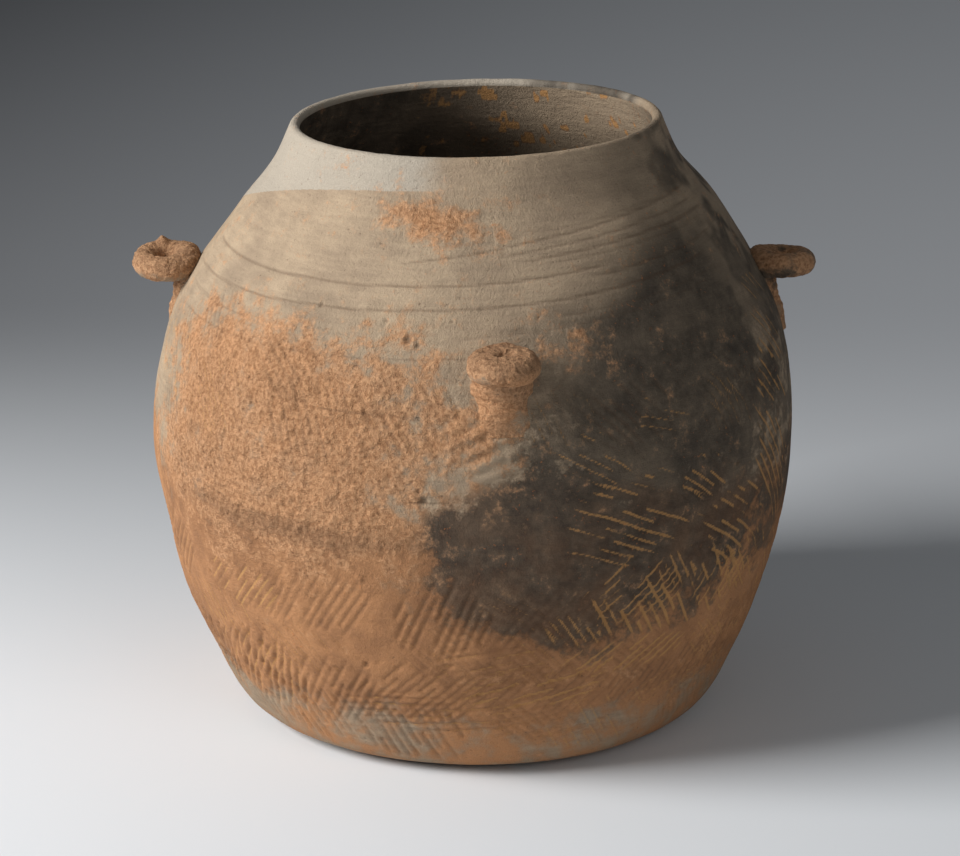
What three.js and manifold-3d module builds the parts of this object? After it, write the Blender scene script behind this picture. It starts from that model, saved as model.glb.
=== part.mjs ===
// A coil-built storage jar of fired clay with four ring lugs on its shoulder.
// Millimetres, +Z up, the foot on z = 0 and the jar's front towards -Y.
// Each slab, coil and lug is a solid of its own, set on its neighbour with a thin bed of slip.
import * as THREE from 'three';
import { mergeVertices } from 'three/addons/utils/BufferGeometryUtils.js';
import Module from 'manifold-3d';

// Outline of the outside: radii, and the rise from each one to the next
const footRadius = 107;
const heelRadius = 119.5;
const lowerWallRadius = 133;
const underBellyRadius = 147.4;
const bellyRadius = 158.7;
const shoulderRadius = 149;
const collarRadius = 118.2;
const neckRadius = 98.9;
const lipRadius = 88.9;
const heelRise = 7;
const lowerWallRise = 25;
const underBellyRise = 37;
const bellyRise = 64;
const shoulderRise = 65;
const collarRise = 52;
const neckRise = 24;
const lipRise = 21;

// How far the hand-built outline leans off the axis, towards +X, and the lip's slope
const bellyLean = -2;
const collarLean = 1.4;
const lipSlopeDegrees = 1.4;

// Wall
const baseThickness = 8;
const wallThickness = 7;
const lipThickness = 5;

// Slabs and coils: the height each one adds, from the foot up
const heelRingHeight = 48;
const lowerWallRingHeight = 52;
const lowerBellyRingHeight = 54;
const upperBellyRingHeight = 41;
const shoulderRingHeight = 50;
const lipCoilHeight = 9;
const baseBevel = 4;
const seamLap = 9;

// Ring lugs: a closed loop of rolled clay with a web of clay pressed under its root
const lugHeight = 221.5;
const frontLugHeight = 214.5;
const frontLugTurnDegrees = 4.5;
const leftLugRollDegrees = 8;
const rodDiameter = 11.6;
const loopHoleDiameter = 9.6;
const rootSwell = 1.4;
const rootPress = 2.6;
const leftRootPress = 1.2;
const rightRootPress = 4.2;
const webGrip = 2.2;
const webDrop = 27;
const webTopWidth = 23;
const webWaistWidth = 14;
const webFootWidth = 18;
const webTopReach = 9;
const webRimLap = 1.8;
const webWaistReach = 4.4;
const webFootReach = 1.4;

// Thickness of the slip between two pieces
const slipGap = 0.3;

// Fineness of the facets
const turnSegments = 60;
const outlineSamples = 480;
const ringSteps = 3;
const neckSteps = 4;
const lipSteps = 6;
const rodSides = 10;
const loopSteps = 24;
const webLevels = 7;
const webSides = 12;

const wasm = await Module();
wasm.setup();

// The outline as one smooth curve through its stations, drawn in the (radius, height) plane
const stations = [
  { radius: footRadius, rise: 0, lean: 0 },
  { radius: heelRadius, rise: heelRise, lean: 0 },
  { radius: lowerWallRadius, rise: lowerWallRise, lean: 0 },
  { radius: underBellyRadius, rise: underBellyRise, lean: bellyLean / 2 },
  { radius: bellyRadius, rise: bellyRise, lean: bellyLean },
  { radius: shoulderRadius, rise: shoulderRise, lean: 0 },
  { radius: collarRadius, rise: collarRise, lean: collarLean },
  { radius: neckRadius, rise: neckRise, lean: 0 },
  { radius: lipRadius, rise: lipRise, lean: 0 },
];
let jarHeight = 0;
stations.forEach((station) => {
  jarHeight += station.rise;
  station.height = jarHeight;
});
const [, heel, , , belly, shoulder] = stations;
const stationPoints = stations.map(({ radius, height }) => new THREE.Vector3(radius, height, 0));
const outline = new THREE.CatmullRomCurve3(stationPoints, false, 'centripetal').getPoints(outlineSamples);

// Point of the outline at a height, with its outward direction
function outlineAt(height) {
  const clamped = THREE.MathUtils.clamp(height, 0, jarHeight);
  let next = outline.findIndex((point) => point.y >= clamped);
  next = Math.max(next, 1);
  const low = outline[next - 1];
  const high = outline[next];
  const share = (clamped - low.y) / (high.y - low.y);
  const along = high.clone().sub(low).normalize();
  return {
    radius: THREE.MathUtils.lerp(low.x, high.x, share),
    height: clamped,
    outward: new THREE.Vector2(along.y, -along.x),
  };
}

// The wall is full at the foot and thins evenly from the shoulder to the lip
function thicknessAt(height) {
  const lower = THREE.MathUtils.mapLinear(height, 0, heel.height, baseThickness, wallThickness);
  const upper = THREE.MathUtils.mapLinear(height, shoulder.height, jarHeight, wallThickness, lipThickness);
  if (height < heel.height) return lower;
  return height > shoulder.height ? upper : wallThickness;
}

// Point of the wall at a height of the outline, on the outside (depth 0) or the inside (depth 1)
function wallPoint(height, depth) {
  const at = outlineAt(height);
  const sink = depth * thicknessAt(height);
  const radius = at.radius - sink * at.outward.x;
  return new THREE.Vector2(radius, at.height - sink * at.outward.y);
}

// Sideways lean of the hand-built wall at a height, eased from station to station
function leanAt(height) {
  const next = stations.findIndex((station) => station.height >= height);
  if (next <= 0) return 0;
  const [low, high] = [stations[next - 1], stations[next]];
  const share = THREE.MathUtils.smoothstep(height, low.height, high.height);
  return THREE.MathUtils.lerp(low.lean, high.lean, share);
}

// Leans the wall, and slopes it from the collar up so that the lip is higher on its +X side
function warp(geometry) {
  const slope = Math.tan(THREE.MathUtils.degToRad(lipSlopeDegrees));
  const position = geometry.attributes.position;
  for (let i = 0; i < position.count; i += 1) {
    const x = position.getX(i);
    const z = position.getZ(i);
    const share = THREE.MathUtils.smoothstep(z, shoulder.height, jarHeight);
    position.setX(i, x + leanAt(z));
    position.setZ(i, z + share * slope * x);
  }
  return geometry;
}

// Turns a closed (radius, height) outline round the jar's axis
function turned(points) {
  const geometry = new THREE.LatheGeometry(points, turnSegments);
  return warp(geometry.rotateX(Math.PI / 2));
}

// Point i of n evenly spaced ones from a to b
function spaced(a, b, n, i) {
  return THREE.MathUtils.lerp(a, b, i / n);
}

// Rise of the slip's upper face over its lower one, for a bed slipGap thick along the lap
const slipRise = slipGap * Math.hypot(seamLap, wallThickness) / wallThickness;

// Slab disc that the jar stands on, its edge bevelled for the first coil
function baseDisc() {
  const edge = footRadius - baseBevel;
  return turned([
    new THREE.Vector2(0, 0),
    new THREE.Vector2(edge - slipGap, 0),
    new THREE.Vector2(edge + baseBevel - slipGap, baseThickness),
    new THREE.Vector2(0, baseThickness),
  ]);
}

// First coil, which wraps the base and turns up at the heel
function heelRing(top) {
  const edge = footRadius - baseBevel + slipGap;
  const points = [new THREE.Vector2(edge, 0)];
  const rim = [0, 0.12, 0.4, 1];
  rim.forEach((share) => points.push(wallPoint(heelRise * share, 0)));
  for (let i = 1; i <= ringSteps; i += 1) points.push(wallPoint(spaced(heelRise, top, ringSteps, i), 0));
  for (let i = ringSteps; i >= 1; i -= 1) {
    points.push(wallPoint(spaced(heelRise, top - seamLap, ringSteps, i), 1));
  }
  points.push(wallPoint(heelRise, 1));
  points.push(new THREE.Vector2(edge + baseBevel, baseThickness));
  points.push(points[0].clone());
  return turned(points);
}

// A coil between two seams; each one laps down inside the one below it
function wallRing(bottom, top, steps) {
  const points = [];
  for (let i = 0; i <= steps; i += 1) points.push(wallPoint(spaced(bottom + slipRise, top, steps, i), 0));
  for (let i = steps; i >= 0; i -= 1) {
    points.push(wallPoint(spaced(bottom + slipRise - seamLap, top - seamLap, steps, i), 1));
  }
  points.push(points[0].clone());
  return turned(points);
}

// Last coil, rolled round at its top into the lip
function lipCoil(bottom) {
  const lipHalf = lipThickness / 2;
  const start = bottom + slipRise;
  const shoulderOfLip = jarHeight - lipHalf;
  const points = [wallPoint(start, 0), wallPoint((start + shoulderOfLip) / 2, 0)];
  const outer = wallPoint(shoulderOfLip, 0);
  const inner = wallPoint(shoulderOfLip, 1);
  const centre = outer.clone().add(inner).multiplyScalar(0.5);
  const reach = outer.clone().sub(centre);
  for (let i = 0; i <= lipSteps; i += 1) {
    const turn = spaced(0, Math.PI, lipSteps, i);
    points.push(reach.clone().rotateAround(new THREE.Vector2(), turn).add(centre));
  }
  points.push(wallPoint(start - seamLap, 1));
  points.push(points[0].clone());
  return turned(points);
}

// Closed triangle mesh to a boolean solid, and back again
function toSolid(geometry) {
  const bare = geometry.clone();
  bare.deleteAttribute('normal');
  bare.deleteAttribute('uv');
  const merged = mergeVertices(bare, 1e-4);
  return new wasm.Manifold(new wasm.Mesh({
    numProp: 3,
    vertProperties: new Float32Array(merged.attributes.position.array),
    triVerts: new Uint32Array(merged.index.array),
  }));
}

function toGeometry(solid) {
  const mesh = solid.getMesh();
  const geometry = new THREE.BufferGeometry();
  geometry.setAttribute('position', new THREE.BufferAttribute(new Float32Array(mesh.vertProperties), 3));
  geometry.setIndex(new THREE.BufferAttribute(new Uint32Array(mesh.triVerts), 1));
  geometry.computeVertexNormals();
  return geometry;
}

// Largest body of a cut solid: where three cuts meet they can leave a crumb thinner than a hair
function withoutCrumbs(solid) {
  const bodies = solid.decompose().sort((a, b) => b.volume() - a.volume());
  return bodies[0];
}

// The wall's outside as a full plug, larger by the slip, to cut a lug's seat with
function wallPlug() {
  const points = [new THREE.Vector2(0, 0)];
  const plugSteps = 40;
  for (let i = 0; i <= plugSteps; i += 1) {
    const at = outlineAt(spaced(belly.height, jarHeight, plugSteps, i));
    points.push(new THREE.Vector2(at.radius + slipGap / at.outward.x, at.height));
  }
  points[0].y = points[1].y;
  points.push(new THREE.Vector2(0, jarHeight));
  return turned(points);
}

const rodRadius = rodDiameter / 2;
const loopRadius = (loopHoleDiameter + rodDiameter) / 2;

// Closed loop of rolled clay, thicker at the root on its -X side
function loopTorus(grow) {
  const geometry = new THREE.TorusGeometry(loopRadius, rodRadius, rodSides, loopSteps);
  const position = geometry.attributes.position;
  const point = new THREE.Vector3();
  const core = new THREE.Vector3();
  for (let i = 0; i < position.count; i += 1) {
    point.fromBufferAttribute(position, i);
    core.set(point.x, point.y, 0).setLength(loopRadius);
    const rootShare = Math.max(0, -core.x / loopRadius) ** 2;
    const swollen = rodRadius + rootSwell * rootShare + grow;
    point.sub(core).setLength(swollen).add(core);
    position.setXYZ(i, point.x, point.y, point.z);
  }
  return geometry;
}

// Loft through closed sections that all have the same number of points, capped at both ends
function loft(sections) {
  const count = sections[0].length;
  const vertices = sections.flat().flatMap((point) => point.toArray());
  const faces = [];
  for (let level = 0; level < sections.length - 1; level += 1) {
    for (let side = 0; side < count; side += 1) {
      const a = level * count + side;
      const b = level * count + (side + 1) % count;
      faces.push(a, b, b + count, a, b + count, a + count);
    }
  }
  const last = (sections.length - 1) * count;
  for (let side = 1; side < count - 1; side += 1) {
    faces.push(0, side + 1, side);
    faces.push(last, last + side, last + side + 1);
  }
  const geometry = new THREE.BufferGeometry();
  geometry.setAttribute('position', new THREE.Float32BufferAttribute(vertices, 3));
  geometry.setIndex(faces);
  return geometry;
}

// Eases through three values as share runs from 0 to 1
function easeThrough(foot, waist, top, share) {
  if (share < 0.5) return THREE.MathUtils.lerp(foot, waist, THREE.MathUtils.smoothstep(share, 0, 0.5));
  return THREE.MathUtils.lerp(waist, top, THREE.MathUtils.smoothstep(share, 0.5, 1));
}

// Half-round section of a web that stands reach proud of the wall at wallX, with its back buried
function webSection(wallX, z, width, reach) {
  const bury = 5;
  const section = [];
  for (let side = 0; side <= webSides; side += 1) {
    const turn = spaced(-Math.PI / 2, Math.PI / 2, webSides, side);
    const proud = (reach + bury) * Math.cos(turn) - bury;
    section.push(new THREE.Vector3(wallX + proud, width / 2 * Math.sin(turn), z));
  }
  section.push(new THREE.Vector3(wallX - 2 * bury, width / 2, z));
  section.push(new THREE.Vector3(wallX - 2 * bury, -width / 2, z));
  return section;
}

// Web under a loop: smeared out on the wall at its foot, waisted, and wide where it grips the loop.
// wallAt gives the wall's place in the lug's own frame at a height of that frame.
function webLoft(wallAt) {
  const throat = -rodRadius - 2 * slipGap;
  // A web reaches no further under the loop's hole than the rim lap, so that a cord still passes
  const topReach = Math.min(webTopReach, webRimLap - loopHoleDiameter / 2 - wallAt(throat));
  const sections = [];
  for (let level = 0; level <= webLevels; level += 1) {
    const share = level / webLevels;
    const z = spaced(throat - webDrop, throat, webLevels, level);
    const width = easeThrough(webFootWidth, webWaistWidth, webTopWidth, share);
    const reach = easeThrough(webFootReach, webWaistReach, topReach, share);
    sections.push(webSection(wallAt(z), z, width, reach));
  }
  const top = webGrip - rodRadius;
  sections.push(webSection(wallAt(top), top, webTopWidth, topReach));
  return loft(sections);
}

// Fired clay as it looks on each part of the jar
const clay = (color) => new THREE.MeshStandardMaterial({ color, roughness: 0.92, metalness: 0 });
const baseClay = clay(0x6a4a33);
const lowerClay = clay(0x84583a);
const bellyClay = clay(0x8a5f40);
const shoulderClay = clay(0x86705a);
const neckClay = clay(0x8b8072);
const lugClay = clay(0x9a7a5c);

const jar = new THREE.Group();

function addPiece(parent, name, geometry, material) {
  const mesh = new THREE.Mesh(geometry, material);
  mesh.name = name;
  parent.add(mesh);
}

const seams = [heelRingHeight];
const ringHeights = [
  lowerWallRingHeight, lowerBellyRingHeight, upperBellyRingHeight, shoulderRingHeight,
];
ringHeights.forEach((height) => seams.push(seams[seams.length - 1] + height));
const lipSeam = jarHeight - lipCoilHeight;

addPiece(jar, 'base_disc', baseDisc(), baseClay);
addPiece(jar, 'heel_ring', heelRing(seams[0]), lowerClay);
addPiece(jar, 'lower_wall_ring', wallRing(seams[0], seams[1], ringSteps), lowerClay);
addPiece(jar, 'lower_belly_ring', wallRing(seams[1], seams[2], ringSteps), bellyClay);
addPiece(jar, 'upper_belly_ring', wallRing(seams[2], seams[3], ringSteps), bellyClay);
addPiece(jar, 'shoulder_ring', wallRing(seams[3], seams[4], ringSteps), shoulderClay);
addPiece(jar, 'neck_ring', wallRing(seams[4], lipSeam, neckSteps), neckClay);
addPiece(jar, 'lip_coil', lipCoil(lipSeam), neckClay);

// A lug stands in a frame of its own: its centre a loop away from the wall, +X pointing outwards
function addLug(side, turnDegrees, height, rollDegrees, press) {
  const turn = THREE.MathUtils.degToRad(turnDegrees);
  const seat = outlineAt(height);
  const stand = loopRadius + rodRadius - press;
  const lug = new THREE.Group();
  lug.position.set(
    (seat.radius + stand) * Math.cos(turn) + leanAt(height),
    (seat.radius + stand) * Math.sin(turn),
    height,
  );
  lug.rotation.z = turn;
  lug.updateMatrixWorld();
  const plug = toSolid(wallPlug().applyMatrix4(lug.matrixWorld.clone().invert()));
  const roll = new THREE.Matrix4().makeRotationX(THREE.MathUtils.degToRad(rollDegrees));
  const loop = withoutCrumbs(toSolid(loopTorus(0).applyMatrix4(roll)).subtract(plug));
  const loopSeat = toSolid(loopTorus(slipGap).applyMatrix4(roll));
  const wallAt = (z) => outlineAt(height + z).radius - seat.radius - stand;
  const web = withoutCrumbs(toSolid(webLoft(wallAt)).subtract(plug).subtract(loopSeat));
  addPiece(lug, `${side}_lug_loop`, toGeometry(loop), lugClay);
  addPiece(lug, `${side}_lug_web`, toGeometry(web), lugClay);
  jar.add(lug);
}

addLug('front', -90 + frontLugTurnDegrees, frontLugHeight, 0, rootPress);
addLug('right', 0, lugHeight, 0, rightRootPress);
addLug('back', 90, lugHeight, 0, rootPress);
addLug('left', 180, lugHeight, leftLugRollDegrees, leftRootPress);

export default jar;
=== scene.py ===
import bpy
import math
import numpy as np
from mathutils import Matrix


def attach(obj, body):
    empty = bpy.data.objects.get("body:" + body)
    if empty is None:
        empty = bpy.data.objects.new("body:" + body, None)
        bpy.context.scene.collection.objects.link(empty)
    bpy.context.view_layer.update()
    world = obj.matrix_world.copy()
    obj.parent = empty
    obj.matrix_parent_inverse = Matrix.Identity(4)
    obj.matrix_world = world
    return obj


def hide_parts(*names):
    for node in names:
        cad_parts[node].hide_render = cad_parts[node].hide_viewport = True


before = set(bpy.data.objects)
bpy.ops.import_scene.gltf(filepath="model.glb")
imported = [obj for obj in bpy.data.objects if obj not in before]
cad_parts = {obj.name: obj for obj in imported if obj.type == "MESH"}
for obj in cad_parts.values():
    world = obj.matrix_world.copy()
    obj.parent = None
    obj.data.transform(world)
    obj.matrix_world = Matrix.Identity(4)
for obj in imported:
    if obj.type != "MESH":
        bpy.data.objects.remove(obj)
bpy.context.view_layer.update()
mm = 0.001
print("frame loaded:", sorted(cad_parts))

# Camera: place and far limit in metres, pitch below the horizon in degrees, focal length and width in
# pixels of the picture, sensor's width in millimetres
view = {"place": (0.002, -1.45, 0.6133), "farLimit": 50, "pitch": 18.256, "focal": 3053.7, "width": 960,
        "sensor": 36.0}

# A new object with its data, linked into the scene
def newObject(name, data):
    thing = bpy.data.objects.new(name, data)
    bpy.context.scene.collection.objects.link(thing)
    return thing

def makeCamera():
    data = bpy.data.cameras.new("camera")
    data.sensor_width = view["sensor"]
    data.lens = view["focal"] / view["width"] * view["sensor"]
    data.clip_end = view["farLimit"]
    camera = newObject("camera", data)
    camera.location = view["place"]
    camera.rotation_euler = (math.radians(90 - view["pitch"]), 0, 0)
    bpy.context.scene.camera = camera

makeCamera()

# The jar in millimetres. Each station of its outline has a radius, a rise above the station before it and
# a sideways lean. Heel and shoulder are the stations where the wall's thickness changes
jar = {
    "radius": [107, 119.5, 133, 147.4, 158.7, 149, 118.2, 98.9, 88.9],
    "rise": [0, 7, 25, 37, 64, 65, 52, 24, 21],
    "lean": [0, 0, 0, -1, -2, 0, 1.4, 0, 0],
    "heel": 1, "shoulder": 5,
    "base": 8, "wall": 7, "lip": 5,                 # thicknesses
    "lipSlope": math.tan(math.radians(1.4)),
    "seams": [48, 100, 154, 195, 245], "lipCoil": 9, "lap": 9, "bevel": 4,
}
# How finely the wall is worked out: columns round the axis, and the pitch of its rows in millimetres
net = {"columns": 1080, "rowPitch": 1.0, "innerPitch": 3.0}
heights = np.cumsum(jar["rise"]).astype(float)
heelHeight = heights[jar["heel"]]
shoulderHeight = heights[jar["shoulder"]]
jarHeight = heights[-1]

# Smooth curve through the points: between two neighbours lies a cubic piece, and the tangents at its ends
# weigh the steps before and after by the square roots of their lengths
def centripetalCurve(points, steps=60):
    points = np.asarray(points, float)
    padded = np.vstack([2 * points[0] - points[1], points, 2 * points[-1] - points[-2]])
    t = np.linspace(0, 1, steps, endpoint=False)[:, None]
    pieces = []
    for before, start, end, after in zip(padded, padded[1:], padded[2:], padded[3:]):
        ends = ((before, start), (start, end), (end, after))
        w0, w1, w2 = [np.linalg.norm(b - a) ** 0.5 for a, b in ends]
        leave = ((start - before) / w0 - (end - before) / (w0 + w1) + (end - start) / w1) * w1
        arrive = ((end - start) / w1 - (after - start) / (w1 + w2) + (after - end) / w2) * w1
        square = 3 * end - 3 * start - 2 * leave - arrive
        cube = 2 * start - 2 * end + leave + arrive
        pieces.append(start + leave * t + square * t ** 2 + cube * t ** 3)
    return np.vstack(pieces + [points[-1:]])

outline = centripetalCurve(np.column_stack([jar["radius"], heights]))
outlineStep = np.gradient(outline, axis=0)
outlineStep /= np.linalg.norm(outlineStep, axis=1)[:, None]

# 0 up to low, 1 from high on, and an eased rise between them
def smooth(value, low, high):
    share = np.clip((value - low) / (high - low), 0, 1)
    return share * share * (3 - 2 * share)

# 1 at 0, falling off to both sides like a bell
def bell(value, power=2):
    return np.exp(-value ** power)

# 1 between start and end, eased down to 0 over the length of fade at both ends
def window(value, start, end, fade):
    return smooth(value, start, start + fade) * (1 - smooth(value, end - fade, end))

# Radius of the outside at heights, and its outward direction as a radial and an upward share
def outlineAt(height):
    radius = np.interp(height, outline[:, 1], outline[:, 0])
    tangentR = np.interp(height, outline[:, 1], outlineStep[:, 0])
    tangentZ = np.interp(height, outline[:, 1], outlineStep[:, 1])
    length = np.hypot(tangentR, tangentZ)
    return radius, tangentZ / length, -tangentR / length

def thicknessAt(height):
    levels = [0, heelHeight, shoulderHeight, jarHeight]
    return np.interp(height, levels, [jar["base"], jar["wall"], jar["wall"], jar["lip"]])

# Sideways lean at heights: each station's change of lean is eased in from the station before it
def leanAt(height):
    lean = np.zeros_like(height, dtype=float)
    for i in range(1, len(heights)):
        lean = lean + smooth(height, heights[i - 1], heights[i]) * (jar["lean"][i] - jar["lean"][i - 1])
    return lean

# Points at a radius, a height and a turn round the axis, leaned sideways and, above the shoulder, sloped
def place(radius, height, turn):
    x = radius * np.cos(turn) + leanAt(height)
    z = height + smooth(height, shoulderHeight, jarHeight) * jar["lipSlope"] * x
    return np.stack([x, radius * np.sin(turn), z], axis=-1)

# Odd factors that scatter the bits of a whole-number place
scatter = {"x": 374761393, "y": 668265263, "z": 1274126177, "seed": 362437, "fold": 1103515245}

# A number from 0 to 1 for each whole-number place, from multiplied and folded bits
def hashed(ix, iy, iz, seed):
    n = (ix * scatter["x"] + iy * scatter["y"] + iz * scatter["z"] + seed * scatter["seed"]) & 0xffffffff
    n = ((n ^ (n >> 13)) * scatter["fold"]) & 0xffffffff
    return ((n ^ (n >> 16)) & 0xffff) / 0xffff

# Value noise from -1 to 1 in cells of a size: the numbers at a cell's eight corners, blended by an eased
# share along each axis
def noise(points, size, seed):
    cell = np.floor(points / size).astype(np.int64)
    share = points / size - cell
    share = share * share * (3 - 2 * share)
    total = 0
    for corner in np.ndindex(2, 2, 2):
        x, y, z = [share[..., i] if corner[i] else 1 - share[..., i] for i in range(3)]
        total = total + x * y * z * hashed(*[cell[..., i] + corner[i] for i in range(3)], seed)
    return 2 * total - 1

# Noise at halving sizes, each layer weaker by gain, added up and brought back to about one amount up or
# down. Brackets with noise hold these values in this order, the size in mm
def layered(points, amount, size, seed, layers=3, gain=0.5):
    weights = [gain ** i for i in range(layers)]
    parts = [weight * noise(points, size / 2 ** i, seed + 17 * i) for i, weight in enumerate(weights)]
    return amount * (sum(parts) / sum(weights))

# Places on the wall are an azimuth in degrees from the front, growing towards +X, and a height in mm
def azimuthGap(azimuth, centre):
    return (azimuth - centre + 180) % 360 - 180

# The azimuth counted without a jump within half a turn of a centre
def azimuthNear(azimuth, centre):
    return azimuthGap(azimuth, centre) + centre

# A soft spot, 1 at its middle: half width in degrees, half height in mm, flatter on top with power 4
def spot(azimuth, height, centre, level, halfWidth, halfHeight, power=2):
    return bell(azimuthGap(azimuth, centre) / halfWidth, power) * bell((height - level) / halfHeight, power)

# Unevenness of the wall in mm: noise, of which the low one fades out between two heights, and spots, with
# azimuth, height, half width, half height and how far they stand out
unevenness = {"noise": [(0.9, 70, 11, 2), (0.28, 22, 12, 2)], "low": (0.45, 30, 13, 2), "lowFade": (100, 150),
              "spots": [(-88, 108, 30, 26, -1.6), (30, 14, 38, 16, 1.8)]}

def unevenRelief(points, azimuth, height):
    relief = sum(layered(points, *values) for values in unevenness["noise"])
    relief = relief + (1 - smooth(height, *unevenness["lowFade"])) * layered(points, *unevenness["low"])
    for *where, rise in unevenness["spots"]:
        relief = relief + rise * spot(azimuth, height, *where)
    return relief

# Lines that the potter's turning left: height = a + b*az + c*az^2 from one azimuth to another, strength
turningLines = {
    "width": 0.75, "depth": 0.42, "shake": 0.5, "fade": 8,
    "curves": [(243.5, 0.11, 0.0009, -86, 34, 1.0), (234.0, 0.12, 0.0005, -88, 62, 1.0),
               (222.5, 0.17, 0.0002, -8, 60, 0.6), (214.5, 0.12, 0.0008, -80, 10, 0.7),
               (256.0, 0.26, -0.0014, -22, 74, 0.9), (253.0, 0.22, -0.0012, 0, 72, 0.8),
               (250.0, 0.20, -0.0012, 6, 74, 1.0), (247.6, 0.19, -0.0012, 12, 70, 0.7),
               (259.5, 0.20, -0.0010, -4, 66, 0.6), (228.0, 0.10, 0.0006, 10, 66, 0.6),
               (240.0, 0.13, 0.0002, 20, 72, 0.8), (219.0, 0.02, 0.0004, -84, -46, 0.8),
               (238.0, 0.02, 0.0, 96, 250, 0.9), (229.0, -0.03, 0.0, 80, 262, 0.8),
               (246.0, 0.01, 0.0, 110, 230, 0.7), (252.5, 0.015, 0.0, 150, 268, 0.6)],
}

# Hairlines where two coils meet, in the same way, with a depth in mm at the end
hairlines = {"width": 0.6, "shake": 0.9, "fade": 2,
             "curves": [(188.6, 0, 0, -29, -8, 0.5), (151.2, 0, 0, -12, -3, 0.5), (195, 0, 0, 128, 150, 0.4)]}

# A line's share of the wall, 1 along its middle
def lineShare(wall, kind, a, b, c, start, end):
    along = azimuthNear(wall["azimuth"], (start + end) / 2)
    off = wall["height"] - (a + b * along + c * along ** 2) - kind["shake"] * wall["wander"]
    return bell(off / kind["width"]) * window(along, start, end, kind["fade"])

# A share of the wall cut to a depth in mm, dark like a groove
def carve(wall, share, depth, dark=1):
    wall["relief"] = wall["relief"] - depth * share
    wall["groove"] = np.maximum(wall["groove"], dark * share)

def cutLines(wall):
    for *curve, strength in turningLines["curves"]:
        carve(wall, lineShare(wall, turningLines, *curve), turningLines["depth"] * strength, strength)
    for *curve, depth in hairlines["curves"]:
        carve(wall, lineShare(wall, hairlines, *curve), depth)

# Patches of paddle strokes: centre azimuth and height, half width and half height in mm, the strokes'
# angle from level in degrees, their pitch and depth in mm, and how much ochre lies in them
paddlePatches = [
    (38, 92, 62, 20, -58, 4.6, 0.50, 1.0), (30, 66, 40, 11, 38, 3.9, 0.45, 0.8),
    (12, 52, 42, 15, 16, 4.4, 0.50, 0.7), (-8, 38, 52, 15, 6, 4.0, 0.45, 0.5),
    (-46, 46, 34, 26, 66, 4.2, 0.50, 0.5), (-66, 42, 26, 24, 58, 4.0, 0.50, 0.3),
    (30, 140, 44, 22, -24, 4.8, 0.26, 0.75), (52, 120, 30, 22, -34, 4.6, 0.32, 0.9),
    (66, 160, 26, 44, -50, 4.6, 0.34, 0.9), (-70, 185, 24, 34, -62, 3.6, 0.36, 0.2),
    (-58, 214, 22, 16, -56, 3.6, 0.30, 0.2), (-34, 204, 34, 18, -40, 4.0, 0.22, 0.2),
    (60, 62, 44, 20, 44, 4.2, 0.45, 0.6), (48, 40, 46, 14, 20, 4.2, 0.40, 0.5),
    (-74, 110, 22, 50, -70, 4.4, 0.25, 0.2), (16, 30, 40, 10, 12, 3.8, 0.35, 0.4),
    (72, 205, 26, 24, -44, 4.4, 0.30, 0.7), (22, 168, 26, 16, -30, 4.2, 0.26, 0.6),
    (34, 184, 22, 12, -16, 4.0, 0.22, 0.5), (44, 150, 24, 14, -36, 4.4, 0.28, 0.8),
    (26, 124, 30, 12, -20, 4.6, 0.30, 0.6), (58, 96, 26, 18, -52, 4.2, 0.42, 0.9),
    (20, 84, 30, 12, -56, 4.2, 0.40, 0.7), (50, 190, 22, 16, -46, 4.0, 0.26, 0.5),
    (40, 108, 26, 12, -62, 4.0, 0.36, 0.8), (8, 100, 24, 12, -34, 4.2, 0.26, 0.4),
    (70, 130, 20, 26, -56, 4.2, 0.34, 0.8), (74, 84, 20, 22, -50, 4.2, 0.38, 0.8),
    (4, 70, 34, 10, 10, 4.0, 0.40, 0.5),
]
# Rows of patches in the same manner, each row a height and a width: over the far side, which the
# photograph doesn't show, and over the near side, under the patches listed above
farSide = {"seed": 5, "rows": [(40, 52), (75, 56), (112, 58), (150, 58), (190, 56)], "first": 88,
           "last": 276, "stepDegrees": 26}
nearSide = {"seed": 8, "rows": [(30, 66), (48, 62), (70, 60), (95, 60), (185, 60)], "first": -90,
            "last": 88, "stepDegrees": 20}
# Angles of the strokes in every other row, and the ranges that a patch's values are drawn from
spread = {"angles": (-56, 58), "turn": (-14, 14), "shift": (-6, 6), "widthShare": (0.45, 0.7),
          "halfHeight": (14, 24), "pitch": (3.7, 4.8), "depth": (0.22, 0.45), "ochre": (0.1, 0.8)}

def spreadPatches(side):
    rng = np.random.default_rng(side["seed"])
    patches = []
    for row, (height, width) in enumerate(side["rows"]):
        for azimuth in np.arange(side["first"], side["last"], side["stepDegrees"]):
            angle = spread["angles"][row % 2] + rng.uniform(*spread["turn"])
            centre = azimuth + rng.uniform(*spread["shift"])
            level = height + rng.uniform(*spread["shift"])
            halfWidth = width * rng.uniform(*spread["widthShare"])
            halfHeight = rng.uniform(*spread["halfHeight"])
            rest = [rng.uniform(*spread[key]) for key in ("pitch", "depth", "ochre")]
            patches.append((centre, level, halfWidth, halfHeight, angle, *rest))
    return patches

strokePatches = paddlePatches + spreadPatches(farSide) + spreadPatches(nearSide)
# How strokes lie in a patch: its ragged edge, how they bend and wander, the length after which one may
# stop, how many are left out, their depth, sharpness and dark, and the thin line of ochre in them
stroke = {"edgeShake": 0.35, "edge": (0.45, 1.05), "bend": 0.04, "wander": 1.1, "length": 19,
          "stagger": 0.37, "seed": 31, "keep": (0.15, 0.6), "deepen": 1.6, "sharpness": 3.4, "dark": 0.9,
          "ochreMiddle": 0.42, "ochreShake": 0.1, "ochreSharpness": 6, "ochreKeep": (0.35, 0.6),
          "fleck": 0.15}

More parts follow.
